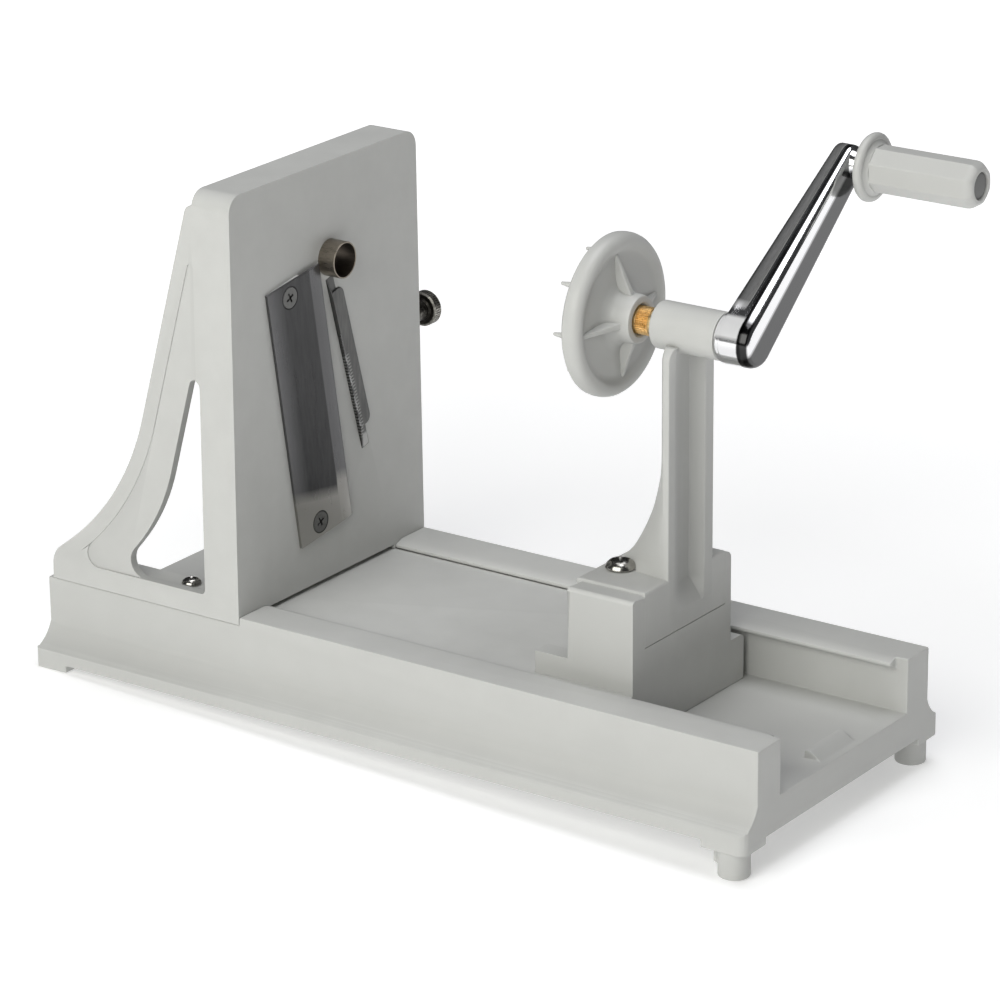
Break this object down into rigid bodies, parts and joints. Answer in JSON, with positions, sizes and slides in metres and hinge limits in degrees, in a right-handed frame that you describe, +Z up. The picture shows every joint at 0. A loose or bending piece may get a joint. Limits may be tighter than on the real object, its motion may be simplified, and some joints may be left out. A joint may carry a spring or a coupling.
{
  "type": "hand-cranked spiralizer",
  "caption": "Long tray base with an upright blade and comb plate, and a sliding carriage whose crank turns a spiked disc.",
  "frame": {"origin": "middle of the whole part's box at rest, on the level of the peg bottoms", "axes": "+X along the base from the blade plate to the crank, +Y across to the far side with the thumb knob, +Z up"},
  "size_m": [0.3264, 0.1472, 0.2307],
  "materials": {
    "white_plastic": "satin",
    "blade_steel": "satin",
    "fastener_steel": "gloss",
    "ring_steel": "satin",
    "comb_steel": "satin",
    "knob_metal": "gloss",
    "brass": "gloss",
    "chrome": "gloss",
    "plug_plastic": "matte"
  },
  "bodies": {
    "frame": {"base_tray": "white_plastic", "near_edge_peg": "white_plastic", "far_edge_peg": "white_plastic", "blade_stand": "white_plastic", "stand_screws": "fastener_steel", "slicing_blade": "blade_steel", "blade_screws": "fastener_steel", "corer_ring": "ring_steel", "clamp_bush": "brass"},
    "comb": {"comb_blade": "comb_steel", "comb_carrier": "comb_steel"},
    "clamp_tip": {"clamp_pad": "fastener_steel"},
    "clamp": {"clamp_screw": "fastener_steel", "thumb_knob": "knob_metal"},
    "carriage": {"slide_carriage": "white_plastic", "crank_post": "white_plastic", "post_screws": "fastener_steel"},
    "crank": {"drive_shaft": "fastener_steel", "knurled_insert": "brass", "spiked_disc": "white_plastic", "crank_arm": "chrome", "grip_spindle": "fastener_steel", "grip_screw": "fastener_steel"},
    "grip": {"crank_grip": "white_plastic", "grip_plug": "plug_plastic"}
  },
  "joints": [
    {"name": "carriage_slide", "type": "slide", "parent": "frame", "child": "carriage", "axis": [1, 0, 0], "range_m": [-0.105, 0.056]},
    {"name": "crank_spin", "type": "hinge", "parent": "carriage", "child": "crank", "pos_m": [0, -0.00527, 0.17], "axis": [1, 0, 0], "continuous": true},
    {"name": "grip_spin", "type": "hinge", "parent": "crank", "child": "grip", "pos_m": [0.13475, 0.06107, 0.2182], "axis": [1, 0, 0], "continuous": true},
    {"name": "comb_pull", "type": "slide", "parent": "frame", "child": "comb", "axis": [1, 0, 0], "range_m": [0, 0.012]},
    {"name": "clamp_travel", "type": "slide", "parent": "frame", "child": "clamp_tip", "axis": [0, 1, 0], "range_m": [0, 0.0021]},
    {"name": "clamp_turn", "type": "hinge", "parent": "clamp_tip", "child": "clamp", "pos_m": [-0.07655, 0.01293, 0.1323], "axis": [0, 1, 0], "range_deg": [0, 1080]}
  ],
  "couplings": [
    {"joint": "clamp_turn", "follows": "clamp_travel", "rad_per_m": 8976}
  ]
}
